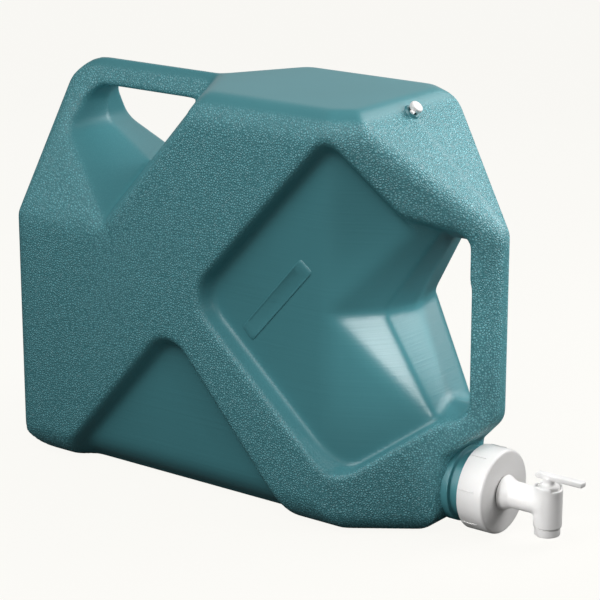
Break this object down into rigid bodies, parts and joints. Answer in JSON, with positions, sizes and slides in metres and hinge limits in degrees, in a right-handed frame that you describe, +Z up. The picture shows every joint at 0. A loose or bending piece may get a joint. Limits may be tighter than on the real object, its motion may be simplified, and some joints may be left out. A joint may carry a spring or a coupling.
{
  "type": "water container",
  "caption": "Hollow moulded camping water container with a top grip, an upright front grip, recessed side panels, a screw cap with a lever tap, and a vent plug.",
  "frame": {"origin": "middle of the tank's underside, half-way along the tank and on the plane where its mould parts", "axes": "+X from the back out through the neck and the tap, +Z up from the base to the top grip, +Y across to the side that the picture doesn't show"},
  "size_m": [0.593, 0.2, 0.39],
  "materials": {
    "teal_polyethylene": "moulded polyethylene, pebble grained on the bands and grips, satin smooth in the recessed panels",
    "white_plastic": "smooth injection moulded white plastic",
    "black_rubber": "matt black sealing rubber",
    "grey_foam": "matt closed-cell foam"
  },
  "bodies": {
    "tank": {"tank_body": "teal_polyethylene"},
    "cap_seal": {"cap_gasket": "grey_foam"},
    "cap": {"screw_cap": "white_plastic"},
    "spigot": {"tap_body": "white_plastic", "tap_gasket": "black_rubber", "tap_nut": "white_plastic"},
    "tap": {"tap_plug": "white_plastic", "plug_ring_upper": "black_rubber", "plug_ring_lower": "black_rubber", "outlet_collar": "white_plastic"},
    "vent": {"vent_plug": "white_plastic", "vent_ring": "black_rubber"}
  },
  "joints": [
    {"name": "cap_travel", "type": "slide", "parent": "tank", "child": "cap_seal", "axis": [1, 0, 0], "range_m": [0, 0.012]},
    {"name": "cap_turn", "type": "hinge", "parent": "cap_seal", "child": "cap", "pos_m": [0.2545, 0, 0.0415], "axis": [1, 0, 0], "range_deg": [0, 540]},
    {"name": "spigot_swivel", "type": "hinge", "parent": "cap", "child": "spigot", "pos_m": [0.258, 0, 0.0415], "axis": [1, 0, 0], "continuous": true},
    {"name": "tap_turn", "type": "hinge", "parent": "spigot", "child": "tap", "pos_m": [0.304, 0, 0.0415], "axis": [0, 0, 1], "range_deg": [0, 90]},
    {"name": "vent_lift", "type": "slide", "parent": "tank", "child": "vent", "axis": [0.6739, 0, 0.7388], "range_m": [0, 0.006]}
  ],
  "couplings": [
    {"joint": "cap_travel", "follows": "cap_turn", "m_per_rad": 0.0012732}
  ]
}
